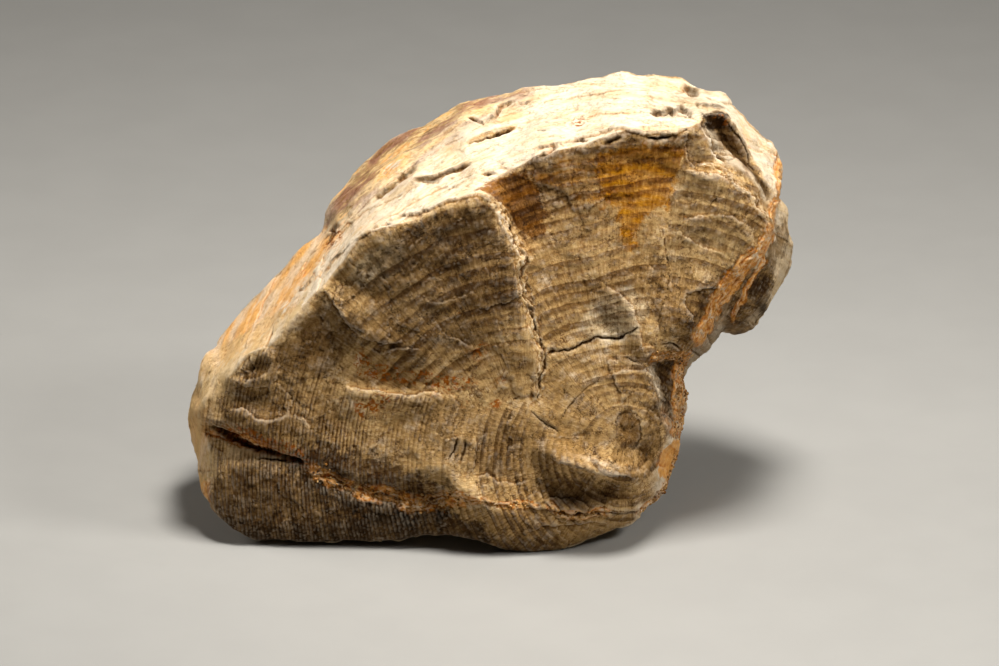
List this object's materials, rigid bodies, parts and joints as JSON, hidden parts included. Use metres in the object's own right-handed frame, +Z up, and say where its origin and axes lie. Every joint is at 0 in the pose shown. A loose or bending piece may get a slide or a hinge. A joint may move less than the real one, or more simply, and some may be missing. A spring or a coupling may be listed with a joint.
{
  "type": "petrified wood chunk",
  "caption": "Chunk of petrified wood broken across the grain, with growth rings on its broken end, a split roof and stepped ledges, lying on flat feet.",
  "frame": {"origin": "middle of the base, on the plane that the chunk rests on", "axes": "+X across the broken end towards the side with the pith, +Y along the grain from the broken end to the back, +Z up"},
  "size_m": [0.182, 0.107, 0.1373],
  "materials": {
    "petrified_wood": "dry broken stone, matt, grey-tan with darker growth rings, cream split faces and ochre and rust stains"
  },
  "bodies": {
    "root": {"petrified_wood": "petrified_wood"}
  },
  "joints": []
}
